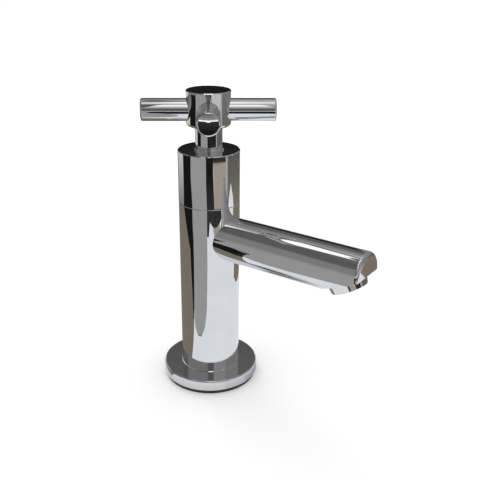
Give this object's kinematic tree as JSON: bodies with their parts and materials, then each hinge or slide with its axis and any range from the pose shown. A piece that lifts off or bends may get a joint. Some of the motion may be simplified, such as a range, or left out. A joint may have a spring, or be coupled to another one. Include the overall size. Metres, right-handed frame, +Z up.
{
  "type": "cross handle tap",
  "caption": "Deck-mounted pillar tap: round column on a flange, straight spout with slanted outlet, cross handle on a quarter-turn headwork, threaded tail with back nut.",
  "frame": {"origin": "on the tap's axis, in the plane where the base gasket rests on the deck", "axes": "+Z up along the tap's axis, +X along the spout, away from the column"},
  "size_m": [0.1224, 0.0598, 0.2087],
  "materials": {
    "chrome": "mirror-polished chromium plate on brass",
    "brass": "turned, bare",
    "black_rubber": "moulded, matt",
    "fibre": "pressed fibre",
    "steel": "stainless, as rolled",
    "ceramic": "lapped alumina",
    "white_plastic": "moulded acetal"
  },
  "bodies": {
    "tap": {"base_gasket": "black_rubber", "base_flange": "chrome", "tail": "brass", "tail_o_ring": "black_rubber", "deck_washer_rubber": "black_rubber", "deck_washer_metal": "steel", "back_nut": "brass", "body": "chrome", "cover_sleeve": "chrome", "neck_guide_ring": "chrome", "spout": "chrome", "aerator_housing": "chrome", "aerator_insert": "white_plastic", "aerator_mesh": "steel", "aerator_seal": "black_rubber", "headwork_body": "brass", "headwork_gasket": "fibre", "seat_seal": "black_rubber", "lower_disc": "ceramic"},
    "handle": {"hub": "chrome", "arm_1": "chrome", "arm_2": "chrome", "arm_3": "chrome", "arm_4": "chrome", "arm_studs": "steel", "neck_sleeve": "chrome", "top_cap": "chrome", "handle_screw": "steel", "spline_bush": "white_plastic", "spindle": "brass", "spindle_o_rings": "black_rubber", "spindle_circlip": "steel", "friction_washer": "white_plastic", "upper_disc": "ceramic"}
  },
  "joints": [
    {"name": "handle_turn", "type": "hinge", "parent": "tap", "child": "handle", "pos_m": [0, 0, 0.1508], "axis": [0, 0, 1], "range_deg": [0, 90]}
  ]
}
